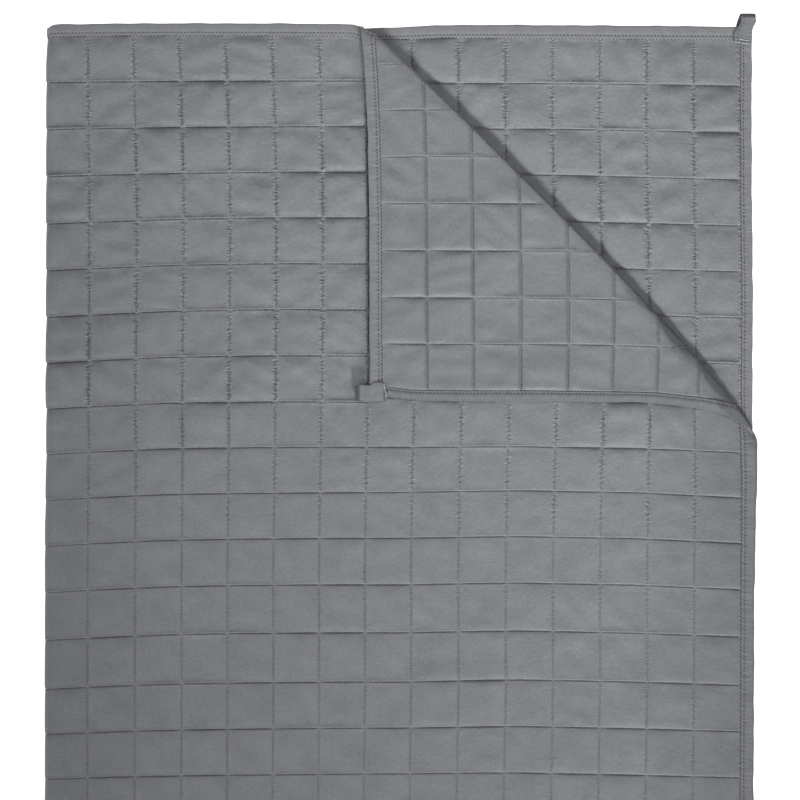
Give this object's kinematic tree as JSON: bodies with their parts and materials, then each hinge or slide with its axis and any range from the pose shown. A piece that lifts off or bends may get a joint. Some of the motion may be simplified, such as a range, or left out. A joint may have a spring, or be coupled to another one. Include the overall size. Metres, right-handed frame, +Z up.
{
  "type": "weighted blanket",
  "caption": "Weighted quilted blanket folded in half lengthwise and laid flat, one head corner turned back, with bound edges and corner tape loops; lies on a bed or floor.",
  "frame": {"origin": "centre of the bounding box on the surface that the folded blanket lies on", "axes": "+Z up, +Y along the blanket towards its head edge, +X towards the open side edges, away from the long fold"},
  "size_m": [0.7504, 2.0018, 0.0203],
  "materials": {
    "quilt_cloth": "matt",
    "binding_cloth": "matt",
    "loop_tape": "matt"
  },
  "bodies": {
    "root": {"quilt": "quilt_cloth", "binding_head": "binding_cloth", "binding_foot": "binding_cloth", "binding_side_over": "binding_cloth", "binding_side_under": "binding_cloth", "loop_head_over": "loop_tape", "loop_head_under": "loop_tape", "loop_foot_over": "loop_tape", "loop_foot_under": "loop_tape"}
  },
  "joints": []
}
